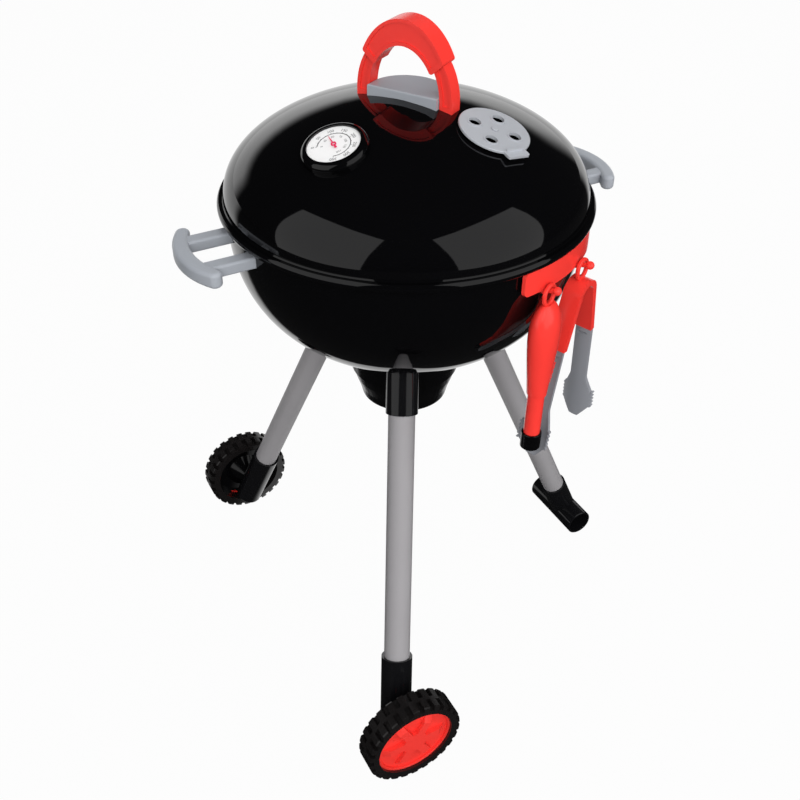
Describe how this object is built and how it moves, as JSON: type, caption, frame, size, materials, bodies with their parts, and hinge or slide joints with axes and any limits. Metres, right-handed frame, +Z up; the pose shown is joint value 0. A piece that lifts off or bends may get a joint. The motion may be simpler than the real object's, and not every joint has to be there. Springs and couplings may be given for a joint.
{
  "type": "toy kettle barbecue grill",
  "caption": "Toy kettle barbecue with a lift-off lid, turning vent, side handles, three tube legs with wheels and a foot, and a rack with a lighter and tongs.",
  "frame": {"origin": "on the ground, under the middle of the outline", "axes": "+Z up, +X towards the leg with the foot, Y along the wheels' axles"},
  "size_m": [0.4718, 0.4732, 0.669],
  "materials": {
    "gloss_black": "gloss",
    "satin_black": "satin",
    "tube_grey": "matte",
    "grey_plastic": "satin",
    "red_plastic": "satin",
    "tyre_black": "satin",
    "dial_white": "printed",
    "grate_black": "satin",
    "screw_steel": "zinc plated"
  },
  "bodies": {
    "stand": {"bowl": "gloss_black", "ash_ring": "satin_black", "ash_cup": "satin_black", "leg_socket_front": "satin_black", "leg_socket_rear": "satin_black", "leg_socket_foot": "satin_black", "leg_tube_front": "tube_grey", "leg_tube_rear": "tube_grey", "leg_tube_foot": "tube_grey", "wheel_sleeve_front": "satin_black", "wheel_sleeve_rear": "satin_black", "foot_tee": "satin_black", "side_handle_left": "grey_plastic", "side_handle_right": "grey_plastic", "tool_rack": "red_plastic", "leg_screws": "screw_steel", "handle_screws": "screw_steel", "axle_front": "screw_steel", "axle_rear": "screw_steel", "push_nut_front": "screw_steel", "push_nut_rear": "screw_steel"},
    "wheel_front": {"tyre_front": "tyre_black", "hub_front": "red_plastic", "wheel_disc_front": "satin_black"},
    "wheel_rear": {"tyre_rear": "tyre_black", "hub_rear": "red_plastic", "wheel_disc_rear": "satin_black"},
    "lid": {"lid": "gloss_black", "lid_handle": "red_plastic", "heat_shield": "grey_plastic", "thermometer_bezel": "gloss_black", "thermometer_dial": "dial_white", "lid_handle_screws": "screw_steel", "vent_rivet": "grey_plastic"},
    "vent": {"vent_disc": "grey_plastic"},
    "grate": {"cooking_grate": "grate_black"},
    "lighter": {"lighter_grip": "red_plastic", "lighter_barrel": "red_plastic", "lighter_tip": "satin_black"},
    "trigger": {"lighter_trigger": "red_plastic"},
    "tongs": {"tongs_handle": "red_plastic", "tongs_jaw_left": "grey_plastic", "tongs_jaw_right": "grey_plastic"}
  },
  "joints": [
    {"name": "wheel_front_spin", "type": "hinge", "parent": "stand", "child": "wheel_front", "pos_m": [-0.13064, -0.19354, 0.05076], "axis": [0, 1, 0], "continuous": true},
    {"name": "wheel_rear_spin", "type": "hinge", "parent": "stand", "child": "wheel_rear", "pos_m": [-0.13064, 0.19354, 0.05076], "axis": [0, 1, 0], "continuous": true},
    {"name": "lid_lift", "type": "slide", "parent": "stand", "child": "lid", "axis": [0, 0, 1], "range_m": [0, 0.12]},
    {"name": "vent_turn", "type": "hinge", "parent": "lid", "child": "vent", "pos_m": [0.02359, -0.07072, 0.58853], "axis": [0.1571, -0.2615, 0.9523], "range_deg": [0, 45]},
    {"name": "grate_lift", "type": "slide", "parent": "stand", "child": "grate", "axis": [0, 0, 1], "range_m": [0, 0.02]},
    {"name": "lighter_off", "type": "slide", "parent": "stand", "child": "lighter", "axis": [0.3415, -0.7762, 0.5299], "range_m": [0, 0.05]},
    {"name": "trigger_pull", "type": "slide", "parent": "lighter", "child": "trigger", "axis": [-0.915, -0.4026, 0.0262], "range_m": [0, 0.0045], "stiffness_N_per_m": 250, "springref_m": -0.002},
    {"name": "tongs_off", "type": "slide", "parent": "stand", "child": "tongs", "axis": [0.3415, -0.7762, 0.5299], "range_m": [0, 0.05]}
  ]
}
